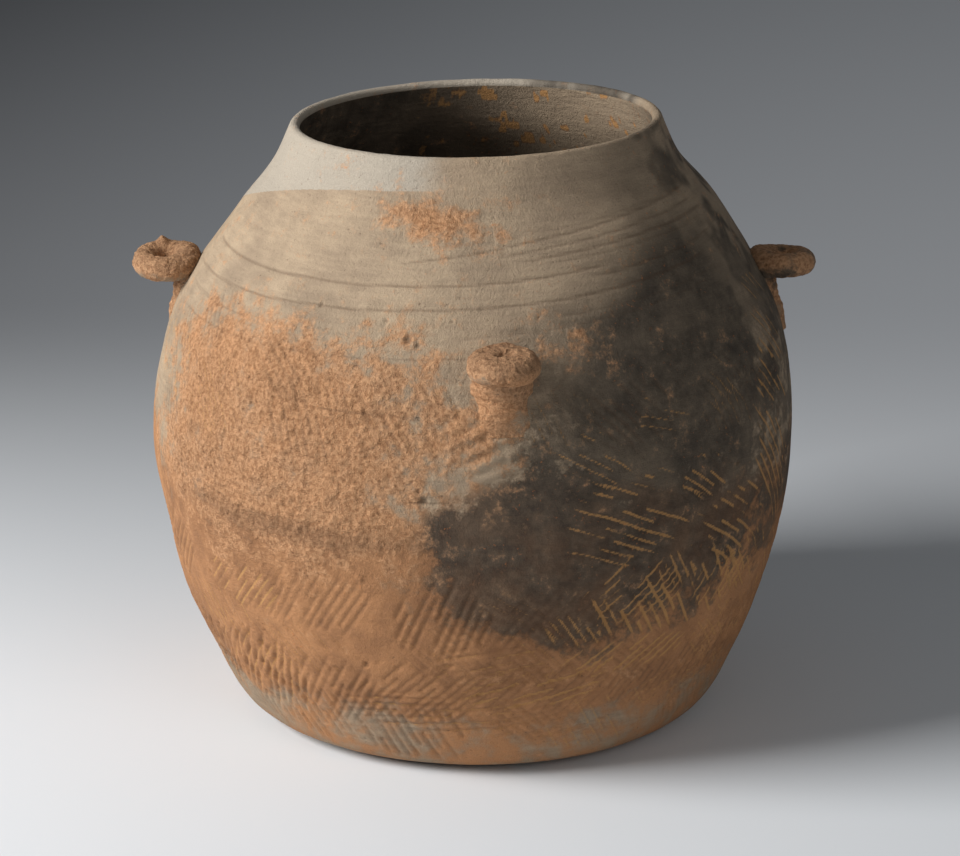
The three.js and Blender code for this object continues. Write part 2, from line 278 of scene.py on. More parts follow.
# Strokes are numbered across the patch, and each is a bell-shaped groove in the middle of its pitch
def cutStrokes(wall):
    for centre, level, halfWidth, halfHeight, angle, pitch, depth, ochre in strokePatches:
        across = azimuthGap(wall["azimuth"], centre) * wall["arc"]
        rise = wall["height"] - level
        slant = math.radians(angle)
        crossing = -across * math.sin(slant) + rise * math.cos(slant)
        running = across * math.cos(slant) + rise * math.sin(slant)
        reach = (across / halfWidth) ** 2 + (rise / halfHeight) ** 2 + stroke["edgeShake"] * wall["shake"]
        patch = 1 - smooth(reach, *stroke["edge"])
        bend = stroke["bend"] * running ** 2 / max(halfWidth, halfHeight)
        phase = (crossing + bend + stroke["wander"] * wall["wander"]) / pitch
        number = np.floor(phase)
        stretch = np.floor(running / stroke["length"] + number * stroke["stagger"])
        keep = hashed(number.astype(np.int64), stretch.astype(np.int64), 0, stroke["seed"])
        groove = bell((phase - number - 0.5) * stroke["sharpness"]) * patch * smooth(keep, *stroke["keep"])
        carve(wall, groove, stroke["deepen"] * depth, stroke["dark"])
        beside = phase - number - stroke["ochreMiddle"] + stroke["ochreShake"] * wall["shake"]
        coloured = smooth(keep + stroke["fleck"] * wall["fleck"], *stroke["ochreKeep"])
        line = bell(beside * stroke["ochreSharpness"]) * patch * coloured
        wall["ochre"] = np.maximum(wall["ochre"], line * ochre)

# Pits and crumbs: azimuth, height, radius, and depth or rise in mm. Shake makes their edges ragged
pits = {
    "shake": 0.25, "edge": (0.4, 1.15),
    "places": [(-13, 221, 2.6, 1.5), (-11, 219, 1.8, 1.1), (-33, 231, 1.3, 1.0), (-18, 228, 1.2, 0.8),
               (-5, 229, 1.2, 0.8), (-30, 222, 1.2, 0.7), (-8, 152, 2.4, 1.3), (-9, 156, 1.6, 0.9),
               (12, 230, 1.1, 0.7), (-55, 92, 1.5, 0.8), (28, 104, 1.2, 0.7), (52, 150, 1.4, 0.8),
               (-20, 64, 1.6, 0.7), (118, 170, 2.2, 1.1), (150, 90, 1.9, 0.9), (190, 210, 1.5, 0.8),
               (222, 120, 2.3, 1.2), (246, 66, 1.6, 0.8)],
}
crumbs = {
    "shake": 0.3, "edge": (0.3, 1.1),
    "places": [(-24, 128, 3.2, 1.1), (-19, 112, 2.0, 0.8), (-38, 152, 2.2, 0.7), (-6, 96, 2.1, 0.7),
               (6, 172, 2.4, 0.8)],
}

# A round place on the wall, 1 at its middle, from the distance to it along the wall
def roundShare(wall, kind, centre, level, radius):
    distance = np.hypot(azimuthGap(wall["azimuth"], centre) * wall["arc"], wall["height"] - level) / radius
    return 1 - smooth(distance + kind["shake"] * wall["shake"], *kind["edge"])

def cutPits(wall):
    for *where, depth in pits["places"]:
        carve(wall, roundShare(wall, pits, *where), depth)
    for *where, rise in crumbs["places"]:
        wall["relief"] = wall["relief"] + rise * roundShare(wall, crumbs, *where)

# A band under the crust, dark like a groove though no relief is cut there: painted shade of a shallow hollow
hollowShade = {"height": 131, "shake": 4, "halfHeight": 8, "azimuth": -30, "halfWidth": 34, "dark": 0.8}

def paintHollowShade(wall):
    off = wall["height"] - hollowShade["height"] + hollowShade["shake"] * wall["wander"]
    sides = bell(azimuthGap(wall["azimuth"], hollowShade["azimuth"]) / hollowShade["halfWidth"], 4)
    wall["groove"] = np.maximum(wall["groove"], hollowShade["dark"] * bell(off / hollowShade["halfHeight"]) * sides)

# The smoke-blackened side. It begins at an azimuth for each level, along an edge that drifts by noise and
# is softer higher up. It ends behind and towards the foot, and is thin in patches on the right and
# towards the lip
smoke = {
    "levels": [20, 50, 62, 75, 90, 108, 124, 148, 164, 190, 225, 240, 262],
    "edge": [52, 40, 26, 9, -3, -9, -8, -3, 9, 13, 16, 27, 44], "middle": 60,
    "drift": [(9, 46, 43, 3, 0.6), (5, 14, 44, 3, 0.7)],
    "soften": 12, "softenMore": 26, "softenFrom": (170, 240),
    "farMiddle": 110, "farDrift": 2, "farEnd": (150, 190),
    "footMiddle": 20, "footSlope": 0.4, "footDrift": 2.2, "footEnd": (40, 104),
    "thin": 0.46, "thinMiddle": 40, "thinFrom": (0, 30), "thinNoise": (1, 20, 46, 3, 0.7),
    "thinEdge": (-0.35, 0.25), "lipThin": 0.2, "lipFrom": (225, 280),
}

def sootShare(points, azimuth, height):
    drift = sum(layered(points, *values) for values in smoke["drift"])
    soften = smoke["soften"] + smoke["softenMore"] * smooth(height, *smoke["softenFrom"])
    begin = np.interp(height, smoke["levels"], smoke["edge"])
    soot = smooth(azimuthNear(azimuth, smoke["middle"]) - begin + drift, -soften, soften)
    behind = azimuthNear(azimuth, smoke["farMiddle"]) + smoke["farDrift"] * drift
    soot = soot * (1 - smooth(behind, *smoke["farEnd"]))
    slope = smoke["footSlope"] * azimuthGap(azimuth, smoke["footMiddle"])
    soot = soot * smooth(height + smoke["footDrift"] * drift - slope, *smoke["footEnd"])
    right = smooth(azimuthGap(azimuth, smoke["thinMiddle"]), *smoke["thinFrom"])
    patches = smooth(layered(points, *smoke["thinNoise"]), *smoke["thinEdge"])
    return soot * (1 - smoke["thin"] * right * patches)

# Crust in broad patches (azimuth, height, half width, half height, strength) and small tan ones, which
# also have a slant in mm per degree. Its edge is ragged, it is weaker under soot, and grit stands on it:
# a base, then noise
crust = {
    "patches": [(-38, 168, 34, 56, 1), (172, 150, 30, 50, 0.8)], "ragged": (0.45, 30, 41, 4, 0.7),
    "tan": [(-9, 268, 15, 9, 1, 0.25), (18, 218, 12, 12, 0.8, 0), (-5, 180, 15, 20, 0.9, 0)],
    "tanCover": 0.78, "underSoot": 0.6, "grit": (0.15, 1.9, 5.2, 42, 3, 0.7), "gritlessCover": 0.6,
    "rise": 0.15, "gritRise": 0.75,
}

# Grains of grit from 0 to 1: strong noise on a base, cut off at both ends
def gritShare(points, base, *values):
    return np.clip(layered(points, *values) + base, 0, 1)

def crustShare(points, azimuth, height, soot):
    share = sum(strength * spot(azimuth, height, *where, 4) for *where, strength in crust["patches"])
    share = share + layered(points, *crust["ragged"])
    tan = 0
    for centre, level, halfWidth, halfHeight, strength, slant in crust["tan"]:
        slanted = height + slant * azimuthGap(azimuth, centre)
        tan = tan + strength * spot(azimuth, slanted, centre, level, halfWidth, halfHeight)
    return np.clip(np.maximum(share, crust["tanCover"] * tan), 0, 1) * (1 - crust["underSoot"] * soot)

# Clay smeared down under the front lug, with slanting ridges: heights, half widths and rises in mm
smear = {"azimuth": 1.5, "height": 176, "slantHeight": 178, "slant": 0.55, "halfWidth": 17, "halfHeight": 15,
         "rise": 0.8, "ridgeRise": 1.1, "ridgeSlant": 0.42, "ridgeTurn": 0.85, "ridgeShake": 1.6}

def smearRelief(wall):
    rise = wall["height"] - smear["height"]
    across = azimuthGap(wall["azimuth"], smear["azimuth"]) * wall["arc"]
    across = across + smear["slant"] * (wall["height"] - smear["slantHeight"])
    share = bell(across / smear["halfWidth"]) * bell(rise / smear["halfHeight"])
    crossing = smear["ridgeSlant"] * azimuthGap(wall["azimuth"], 0) * wall["arc"] - rise
    ridges = 0.5 + 0.5 * np.sin(crossing * smear["ridgeTurn"] + smear["ridgeShake"] * wall["wander"])
    return share * (smear["rise"] + smear["ridgeRise"] * ridges)

# Pale ash lies above a tilted plane, whose slope towards the back stops a little behind the axis, and is
# thin on the right
ash = {"level": 244.8, "slopeX": 0.086, "slopeY": 0.337, "behind": 8, "behindShake": 14, "edge": (-0.5, 0.9),
       "thin": 0.75, "thinMiddle": -20, "thinFrom": (-25, 26), "thinTo": (110, 170)}

def ashShare(points, azimuth, wander):
    depth = np.minimum(points[..., 1], ash["behind"] + ash["behindShake"] * wander)
    tide = ash["level"] - ash["slopeX"] * points[..., 0] - ash["slopeY"] * depth
    right = azimuthGap(azimuth, ash["thinMiddle"])
    thin = ash["thin"] * smooth(right, *ash["thinFrom"]) * (1 - smooth(right, *ash["thinTo"]))
    return smooth(points[..., 2] - tide, *ash["edge"]) * (1 - thin)

# Orange clay on the lower half, weaker at the foot, and under the crust
rust = {"level": 158, "shake": 16, "edge": (-22, 46), "footLevel": 46, "footEdge": (-8, 22), "footThin": 0.5,
        "underCrust": 0.7}

def orangeShare(height, wander, crusted):
    orange = smooth(rust["level"] - height + rust["shake"] * wander, *rust["edge"])
    orange = orange * (1 - rust["footThin"] * smooth(rust["footLevel"] - height, *rust["footEdge"]))
    return np.maximum(orange, rust["underCrust"] * crusted)

# Noise that roughens the marks
roughening = {"wander": (1, 26, 21, 2), "shake": (1, 12, 22, 2), "fleck": (1, 7, 23, 3, 0.7)}

# What the outside carries: relief in millimetres along its normal, and each finish's share from 0 to 1
def outsideMarks(points, azimuth, height):
    zero = np.zeros_like(height)
    wall = {"azimuth": azimuth, "height": height, "groove": zero, "ochre": zero,
            "arc": math.radians(1) * outlineAt(height)[0],          # millimetres of wall per degree
            "relief": unevenRelief(points, azimuth, height)}
    for key, values in roughening.items():
        wall[key] = layered(points, *values)
    for cut in (cutLines, cutStrokes, cutPits, paintHollowShade):
        cut(wall)
    soot = sootShare(points, azimuth, height)
    crusted = crustShare(points, azimuth, height, soot)
    grains = gritShare(points, *crust["grit"])
    cover = crust["gritlessCover"] + (1 - crust["gritlessCover"]) * grains
    relief = wall["relief"] + crusted * (crust["rise"] + crust["gritRise"] * grains) + smearRelief(wall)
    return {"relief": relief, "groove": wall["groove"], "ochre": wall["ochre"],
            "soot": soot * (1 - smoke["lipThin"] * smooth(height, *smoke["lipFrom"])),
            "ash": ashShare(points, azimuth, wall["wander"]), "crust": crusted * cover,
            "orange": orangeShare(height, wall["wander"], crusted)}

# Inside: rings of wiping and a little unevenness in mm, orange specks on the back right near the mouth,
# and soot that is thinner round about them. The soot is partly painted shade: full elsewhere, it darkens
# the inside where the lamps leave it in shadow, most of all on the left
inside = {
    "ringTurn": 0.9, "ringShake": (1.5, 60, 51, 2), "ringRise": 0.16, "uneven": (0.3, 30, 52, 2),
    "speckNoise": (1, 7, 53, 3, 0.7), "speckEdge": (0.18, 0.4), "speckFrom": (225, 255),
    "speckAzimuth": 155, "speckHalfWidth": 45, "speckOrange": 1.4,
    "thin": 0.62, "litSideAzimuth": 140, "litSideHalfWidth": 60, "thinFrom": (205, 265),
}

def insideMarks(points, azimuth, height):
    rings = np.sin(height * inside["ringTurn"] + layered(points, *inside["ringShake"])) * inside["ringRise"]
    specks = smooth(layered(points, *inside["speckNoise"]), *inside["speckEdge"])
    specks = specks * smooth(height, *inside["speckFrom"])
    specks = specks * bell(azimuthGap(azimuth, inside["speckAzimuth"]) / inside["speckHalfWidth"])
    # Thinner soot where the light falls on the back right, full soot elsewhere as painted shade
    thin = bell(azimuthGap(azimuth, inside["litSideAzimuth"]) / inside["litSideHalfWidth"])
    zero = np.zeros_like(height)
    return {"relief": rings + layered(points, *inside["uneven"]), "groove": zero, "ochre": specks,
            "soot": 1 - inside["thin"] * thin * smooth(height, *inside["thinFrom"]), "ash": zero,
            "crust": zero, "orange": inside["speckOrange"] * specks}

finishes = ["groove", "ochre", "soot", "ash", "crust", "orange"]

# Closed mesh of quads on a grid of points: rows along the profile and columns round the axis. The rows
# named as corners keep a sharp edge, so that the seam's faces don't shade the wall
def meshFromGrid(name, grid, marks, closeRows=True, corners=()):
    rows, columns = grid.shape[:2]
    index = np.arange(rows * columns).reshape(rows, columns)
    index = np.concatenate([index, index[:, :1]], axis=1)
    if closeRows:
        index = np.concatenate([index, index[:1]], axis=0)
    quads = np.stack([index[:-1, :-1], index[:-1, 1:], index[1:, 1:], index[1:, :-1]], axis=-1).reshape(-1, 4)
    data = bpy.data.meshes.new(name)
    data.vertices.add(rows * columns)
    data.vertices.foreach_set("co", (grid * mm).astype(np.float32).ravel())
    data.loops.add(quads.size)
    data.loops.foreach_set("vertex_index", quads.astype(np.int32).ravel())
    data.polygons.add(len(quads))
    data.polygons.foreach_set("loop_start", np.arange(0, quads.size, 4, dtype=np.int32))
    data.update(calc_edges=True)
    for key in finishes:
        attribute = data.attributes.new(key, "FLOAT", "POINT")
        attribute.data.foreach_set("value", marks[key].astype(np.float32).ravel())
    data.polygons.foreach_set("use_smooth", np.ones(len(quads), bool))
    data.validate()
    edges = np.empty(len(data.edges) * 2, dtype=np.int32)
    data.edges.foreach_get("vertices", edges)
    row = edges.reshape(-1, 2) // columns
    sharp = (row[:, 0] == row[:, 1]) & np.isin(row[:, 0], [corner % rows for corner in corners])
    data.attributes.new("sharp_edge", "BOOLEAN", "EDGE").data.foreach_set("value", sharp)
    return newObject(name, data)

# Grids laid one after another along the profile, each with its marks
def stack(*parts):
    grid = np.concatenate([part[0] for part in parts], axis=0)
    return grid, {key: np.concatenate([part[1][key] for part in parts], axis=0) for key in finishes}

def rowsBetween(low, high, pitch):
    return np.linspace(low, high, max(3, int(round(abs(high - low) / pitch)) + 1))

turns = np.linspace(0, 2 * np.pi, net["columns"], endpoint=False)
# Relief grows in over these heights above the floor, outside and inside, and weakens just below the lip
calm = {"foot": 9, "insideFoot": 20, "lipFrom": 8, "lipTo": 2, "lip": 0.75}

# Rows of the wall at heights: the outline, which for the inside is sunk by the wall's thickness along its
# normal, with the relief laid on along that normal, outwards or into the jar
def wallRows(levels, isInside=False):
    level, turn = np.meshgrid(levels, turns, indexing="ij")
    radius, outR, outZ = outlineAt(level)
    sink = thicknessAt(level) if isInside else np.zeros_like(level)
    plain = place(radius - sink * outR, level - sink * outZ, turn)
    azimuth = azimuthGap(np.degrees(turn), -90)
    marks = insideMarks(plain, azimuth, level) if isInside else outsideMarks(plain, azimuth, level)
    settle = smooth(level, 0, calm["insideFoot"] if isInside else calm["foot"])
    nearLip = smooth(level, jarHeight - calm["lipFrom"], jarHeight - calm["lipTo"])
    lift = marks["relief"] * settle * (1 - calm["lip"] * nearLip) * (-1 if isInside else 1)
    return place(radius - (sink - lift) * outR, level - sink * outZ + lift * outZ, turn), marks

# Rows at set radii and heights, for the foot's underside and the base
def flatRows(radii, levels, soot=0.2, orange=0.6):
    radius, turn = np.meshgrid(np.asarray(radii, float), turns, indexing="ij")
    level = np.repeat(np.asarray(levels, float)[:, None], len(turns), axis=1)
    marks = {key: np.zeros_like(level) for key in finishes}
    marks["soot"] += soot
    marks["orange"] += orange
    return place(radius, level, turn), marks

# A coil: up the outside, across the lapped seam, down the inside and back across the lower seam
def ringPiece(name, low, high):
    outer = wallRows(rowsBetween(low, high, net["rowPitch"]))
    inner = wallRows(rowsBetween(high - jar["lap"], low - jar["lap"], net["innerPitch"]), True)
    last = len(outer[0])
    return meshFromGrid(name, *stack(outer, inner), corners=(0, last - 1, last, -1))

# The heel's rows lie closer together towards the floor, by a power of their share of its height
heelRing = {"rows": 12, "bunch": 1.6, "seatSoot": 0.9}

# The first coil: its face on the floor, up the outside, down the inside and out to the base's rim
def heelPiece(name, high):
    edge = jar["radius"][0] - jar["bevel"]
    under = flatRows([edge, edge + jar["bevel"] / 2], [0, 0])
    bunched = heelHeight * np.linspace(0, 1, heelRing["rows"]) ** heelRing["bunch"]
    outer = wallRows(np.concatenate([bunched[:-1], rowsBetween(heelHeight, high, net["rowPitch"])]))
    inner = wallRows(rowsBetween(high - jar["lap"], heelHeight, net["innerPitch"]), True)
    seat = flatRows([edge + jar["bevel"]], [jar["base"]], heelRing["seatSoot"], 0)
    last = 2 + len(outer[0])
    return meshFromGrid(name, *stack(under, outer, inner, seat), corners=(0, 1, last - 1, last, -2, -1))

# The lip's top: steps of its half circle, and its relief in mm
lipTop = {"steps": 14, "relief": (0.25, 9, 61, 3)}

# The last coil: its top is a half circle carried round, from the outside over to the inside
def lipPiece(name, low):
    half = jar["lip"] / 2
    outer = wallRows(rowsBetween(low, jarHeight - half, net["rowPitch"]))
    inner = wallRows(rowsBetween(jarHeight - half, low - jar["lap"], net["innerPitch"]), True)
    centre = (outer[0][-1] + inner[0][0]) / 2
    reach = outer[0][-1] - centre
    up = np.cross(reach, np.stack([-np.sin(turns), np.cos(turns), 0 * turns], -1))
    up = up / np.linalg.norm(up, axis=1)[:, None] * np.linalg.norm(reach, axis=1)[:, None]
    bends = np.linspace(0, np.pi, lipTop["steps"])[1:-1]
    arc = np.stack([centre + reach * np.cos(bend) + up * np.sin(bend) for bend in bends])
    arc = arc + layered(arc, *lipTop["relief"])[..., None] * (arc - centre) / half
    marks = {key: np.repeat(outer[1][key][-1:], len(bends), axis=0) for key in finishes}
    return meshFromGrid(name, *stack(outer, (arc, marks), inner), corners=(0, -1))

# The slab's rows, and its uneven top, whose relief in mm dies out towards the rim by a power
slab = {"middle": 0.02, "underRows": 14, "topRows": 40, "relief": (0.5, 24, 71, 3), "dieOut": 6,
        "topSoot": 0.85, "underSoot": 0.25}

# A closed disc with a bevelled edge, its middle points drawn together at both faces
def basePiece(name):
    rim = jar["radius"][0]
    under = np.linspace(slab["middle"], rim - jar["bevel"], slab["underRows"])
    over = np.linspace(rim, slab["middle"], slab["topRows"])
    radii = np.concatenate([under, over])
    grid, marks = flatRows(radii, np.concatenate([0 * under, 0 * over + jar["base"]]))
    isTop = np.arange(len(radii))[:, None] + 0 * turns >= len(under)
    relief = layered(grid, *slab["relief"]) * (1 - (radii[:, None] / rim) ** slab["dieOut"])
    grid[..., 2] += np.where(isTop, relief, 0)
    marks["soot"] = np.where(isTop, slab["topSoot"], slab["underSoot"])
    return meshFromGrid(name, grid, marks)

# Clay of the lugs in millimetres: the loop's hole and rod, its swelling towards the wall, and the web
# under it, whose widths and reaches from the wall are those of its foot, waist and top
lug = {"hole": 9.6, "rod": 11.6, "swell": 1.4, "grip": 2.2, "gripFrom": 0.93, "drop": 27, "gap": 0.3,
       "widths": (18, 14, 23), "reaches": (0.9, 4.4, 9), "widest": 30, "bury": 5,
       "aroundSteps": 220, "sectionSteps": 96, "webSteps": 90}
# Each lug: turn from +X and roll in degrees, height and press into the wall in mm, how much crust and soot
# lie on it, how far grit narrows its hole in mm, and its web's width and reach as shares of those above
lugs = {
    "front": {"turn": -85.5, "roll": 0, "height": 214.5, "press": 2.6, "crust": 0.8, "soot": 0.1,
              "grit": 3.6, "webWidth": 1.75, "webReach": 1.15},
    "right": {"turn": 0, "roll": -3, "height": 221.5, "press": 4.2, "crust": 0.42, "soot": 0.62,
              "grit": 0.0, "webWidth": 1.0, "webReach": 0.55},
    "back": {"turn": 90, "roll": 0, "height": 221.5, "press": 2.6, "crust": 0.5, "soot": 0.3,
             "grit": 0.8, "webWidth": 1.0, "webReach": 0.8},
    "left": {"turn": 180, "roll": -8, "height": 221.5, "press": 1.2, "crust": 0.75, "soot": 0.05,
             "grit": 0.5, "webWidth": 1.0, "webReach": 0.8},
}
nub = {"side": "left", "around": -75, "rise": 3.0, "size": 2.3}      # a small lump on the left loop
loopRadius = (lug["hole"] + lug["rod"]) / 2
rodRadius = lug["rod"] / 2

# Distance of a loop's centre from the axis
def lugStand(side):
    return outlineAt(lugs[side]["height"])[0] + loopRadius + rodRadius - lugs[side]["press"]

# The loop's centre, and the directions outwards, sideways and up as rows
def lugFrame(side):
    height, turn = lugs[side]["height"], math.radians(lugs[side]["turn"])
    outward = np.array([math.cos(turn), math.sin(turn), 0])
    centre = lugStand(side) * outward + np.array([leanAt(height), 0, height])
    return centre, np.array([outward, [-outward[1], outward[0], 0], [0, 0, 1]])

# How the finishes lie on a lug: more crust on its upper half, more orange clay on its lower half. This is
# partly painted light: the pale crust lightens the lug's top, the orange darkens its lower half as shade
lugCover = {"half": 4, "crust": 0.5, "crustAndLightUp": 0.6, "crustRagged": (0.35, 10, 82, 2), "groove": 0.6,
            "sootRagged": (0.3, 12, 83, 2), "grit": (0.25, 1.7, 3.4, 81, 3, 0.7), "ash": 0.1,
            "orange": 0.45, "orangeAndShadeDrop": 0.4}

def lugMarks(points, side, extraCrust=0.0):
    own = lugs[side]
    zero = np.zeros(points.shape[:2])
    grains = gritShare(points, *lugCover["grit"])
    upward = smooth(points[..., 2], own["height"] - lugCover["half"], own["height"] + lugCover["half"])
    # Partly painted light: more crust towards the top makes it lighter, more orange below makes it darker
    cover = own["crust"] * (lugCover["crust"] + lugCover["crustAndLightUp"] * upward)
    cover = np.clip(cover + layered(points, *lugCover["crustRagged"]) + extraCrust, 0, 1)
    soot = np.clip(own["soot"] + layered(points, *lugCover["sootRagged"]), 0, 1)
    return {"relief": cover * (crust["rise"] + crust["gritRise"] * grains), "crust": cover, "ochre": zero,
            "groove": lugCover["groove"] * (1 - grains) * cover, "soot": soot,
            "ash": zero + lugCover["ash"], "orange": lugCover["orange"] - lugCover["orangeAndShadeDrop"] * upward}

# Surface of the loops: unevenness in mm, and the hole's side of the rod, which is smoother, carries the
# grit that narrows it; where that grit is thin, that side is darkened through the soot share as painted
# shade inside the hole
loopSkin = {"uneven": [(0.4, 9, 84, 2), (0.25, 1.9, 87, 2)], "holeSide": (0.1, 0.9), "holeSmooth": 0.7,
            "grit": 0.75, "gritUneven": (0.5, 4, 88, 2), "thinGrit": 1, "holeShade": 0.5}

# A closed ring: a round section carried round a circle, swollen towards the wall, with grit laid on
def lugLoop(side):
    centre, axes = lugFrame(side)
    roll, grit = math.radians(lugs[side]["roll"]), lugs[side]["grit"]
    arounds = np.linspace(0, 2 * np.pi, lug["aroundSteps"], endpoint=False)
    sections = np.linspace(0, 2 * np.pi, lug["sectionSteps"], endpoint=False)
    around, section = np.meshgrid(arounds, sections, indexing="ij")
    swollen = rodRadius + lug["swell"] * np.maximum(0, -np.cos(around)) ** 2

    # Points of the ring with its rod thicker by lift, rolled about the outward direction
    def ring(lift):
        out = loopRadius + (swollen + lift) * np.cos(section)
        across = out * np.sin(around)
        rise = (swollen + lift) * np.sin(section)
        sideways = across * math.cos(roll) - rise * math.sin(roll)
        upward = across * math.sin(roll) + rise * math.cos(roll)
        return centre + np.stack([out * np.cos(around), sideways, upward], -1) @ axes

    plain = ring(0)
    marks = lugMarks(plain, side)
    hole = smooth(-np.cos(section), *loopSkin["holeSide"])
    lift = marks["relief"] * (1 - loopSkin["holeSmooth"] * hole)
    lift = lift + sum(layered(plain, *values) for values in loopSkin["uneven"])
    lift = lift + grit * hole * (loopSkin["grit"] + layered(plain, *loopSkin["gritUneven"]))
    # Painted shade inside the hole, laid on through the soot share
    if grit < loopSkin["thinGrit"]:
        marks["soot"] = np.clip(marks["soot"] + loopSkin["holeShade"] * hole, 0, 1)
    if side == nub["side"]:
        top = plain[round(nub["around"] / 360 * lug["aroundSteps"]), lug["sectionSteps"] // 4]
        lift = lift + nub["rise"] * bell(np.linalg.norm(plain - top, axis=-1) / nub["size"])
    return meshFromGrid(side + "_lug_loop_clay", ring(lift), marks)

# A value eased from the web's foot over its waist, at half its height, to its top
def alongWeb(values, level):
    foot, waist, top = values
    return foot + (waist - foot) * smooth(level, 0, 0.5) + (top - waist) * smooth(level, 0.5, 1)

# Surface of the webs in mm: level stripes that begin above the foot, a share of the grit's relief,
# unevenness, and how far the whole skin lies back
webSkin = {"stripe": 0.16, "stripeTurn": 1.9, "stripeShake": (2, 8, 85, 2), "stripeFrom": (0.1, 0.4),
           "grit": 0.3, "uneven": (0.5, 9, 86, 2), "back": 0.2, "extraCrust": 0.1}

# Half-round sections stacked from the smeared foot up to the loop, with their backs buried in the wall
def lugWeb(side):
    centre, axes = lugFrame(side)
    own, bury = lugs[side], lug["bury"]
    level, angle = np.meshgrid(np.linspace(0, 1, lug["webSteps"]),
                               np.linspace(-np.pi / 2, np.pi / 2, lug["webSteps"]), indexing="ij")
    grip = np.maximum(0, level - lug["gripFrom"]) / (1 - lug["gripFrom"]) * (lug["grip"] + 2 * lug["gap"])
    z = -rodRadius - 2 * lug["gap"] - lug["drop"] * (1 - level) + grip
    half = np.minimum(alongWeb(lug["widths"], level) * own["webWidth"], lug["widest"]) / 2
    reach = alongWeb(lug["reaches"], level) * own["webReach"]
    wall = outlineAt(own["height"] + z)[0] - lugStand(side)
    proud = (reach + bury) * np.cos(angle) - bury

    # Points of the web's rounded face, pushed out by lift
    def skin(lift):
        local = np.stack([wall + proud + lift * np.cos(angle), (half + lift) * np.sin(angle), z], -1)
        return centre + local @ axes

    plain = skin(0)
    marks = lugMarks(plain, side, webSkin["extraCrust"])
    turn = plain[..., 2] * webSkin["stripeTurn"] + layered(plain, *webSkin["stripeShake"])
    stripes = webSkin["stripe"] * np.sin(turn) * smooth(level, *webSkin["stripeFrom"])
    uneven = layered(plain, *webSkin["uneven"])
    front = skin(webSkin["grit"] * marks["relief"] + stripes + uneven - webSkin["back"])
    edges = np.stack([half[:, 0], -half[:, 0]], -1)
    back = centre + np.stack([wall[:, :2] - 2 * bury, edges, z[:, :2]], -1) @ axes
    grid = np.concatenate([front, back], axis=1)
    foot = np.repeat(grid[:1].mean(axis=1, keepdims=True), grid.shape[1], axis=1)
    head = np.repeat(grid[-1:].mean(axis=1, keepdims=True), grid.shape[1], axis=1)
    grid = np.concatenate([foot, grid, head], axis=0)
    marks = {key: np.concatenate([marks[key], marks[key][:, :2]], axis=1) for key in finishes}
    marks = {key: np.concatenate([mark[:1], mark, mark[-1:]], axis=0) for key, mark in marks.items()}
    return meshFromGrid(side + "_lug_web_clay", grid, marks, closeRows=False, corners=(1, -2))

# Colours as a screen shows them, 0 to 255
paint = {
    "buff": (180, 158, 131), "buffDark": (144, 125, 104), "ash": (170, 161, 147), "crust": (202, 154, 113),
    "crustDark": (156, 111, 76), "orange": (182, 128, 84), "orangeDark": (140, 95, 61), "soot": (88, 78, 66),
    "sootDark": (52, 46, 40), "ochre": (184, 138, 86), "grooveAndShadeDark": (84, 62, 46), "speck": (196, 118, 62),
}

# A screen colour as the amounts of light that it stands for, with full alpha
def linear(name):
    share = [c / 255 for c in paint[name]]
    return tuple([c / 12.92 if c <= 0.04045 else ((c + 0.055) / 1.055) ** 2.4 for c in share]) + (1.0,)

# Small helper that adds nodes to a material and joins them
class Tree:
    def __init__(self, material):
        material.use_nodes = True
        self.nodes = material.node_tree.nodes
        self.links = material.node_tree.links
        self.nodes.clear()

    def add(self, kind, inputs=None, **settings):
        node = self.nodes.new(kind)
        for key, value in settings.items():
            setattr(node, key, value)
        for key, value in (inputs or {}).items():
            self.put(node.inputs[key], value)
        return node

    def put(self, socket, value):
        if isinstance(value, bpy.types.NodeSocket):
            self.links.new(value, socket)
        else:
            socket.default_value = value

    def maths(self, operation, a, b, clamp=False):
        return self.add("ShaderNodeMath", {0: a, 1: b}, operation=operation, use_clamp=clamp).outputs[0]

    def times(self, a, b):
        return self.maths("MULTIPLY", a, b)

    # A share of a value, on top of a start
    def line(self, value, share, start):
        return self.maths("ADD", self.times(value, share), start)

    # Values added up, each with its weight
    def weighted(self, *pairs):
        total = self.times(*pairs[0])
        for value, weight in pairs[1:]:
            total = self.maths("ADD", total, self.times(value, weight))
        return total

    # Colour b over colour a by a share; sockets 6 and 7 are the two colours
    def mix(self, share, a, b, blend="MIX"):
        values = {0: share, 6: a, 7: b}
        return self.add("ShaderNodeMix", data_type="RGBA", blend_type=blend, inputs=values).outputs[2]

    def noise(self, where, scale, detail, rough):
        values = {"Vector": where, "Scale": scale, "Detail": detail, "Roughness": rough}
        return self.add("ShaderNodeTexNoise", values).outputs[0]

    def ramp(self, value, low, high):
        values = {0: value, 1: low, 2: high}
        return self.add("ShaderNodeMapRange", values, interpolation_type="SMOOTHSTEP").outputs[0]

    def finish(self, inputs, specular):
        shader = self.add("ShaderNodeBsdfPrincipled", inputs)
        shader.inputs["Specular IOR Level"].default_value = specular
        self.add("ShaderNodeOutputMaterial", {"Surface": shader.outputs[0]})

# Noise of the clay: scale per metre, detail and roughness, and how much of each makes up a mixture
clayNoise = {
    "coarse": (28.0, 5.0, 0.62), "middle": (110.0, 5.0, 0.65), "fine": (520.0, 4.0, 0.7),
    "grain": (1500.0, 3.0, 0.7), "flake": (55.0, 6.0, 0.7), "streak": (60.0, 4.0, 0.6),
}
streakStretch = (1, 1, 7)
clayMixtures = {
    "blotch": {"streak": 0.35, "coarse": 0.65}, "mottle": {"middle": 0.4, "coarse": 0.6},
    "edge": {"middle": 0.5, "fine": 0.2, "flake": 0.3}, "bump": {"fine": 0.6, "grain": 0.4, "streak": 0.5},
}
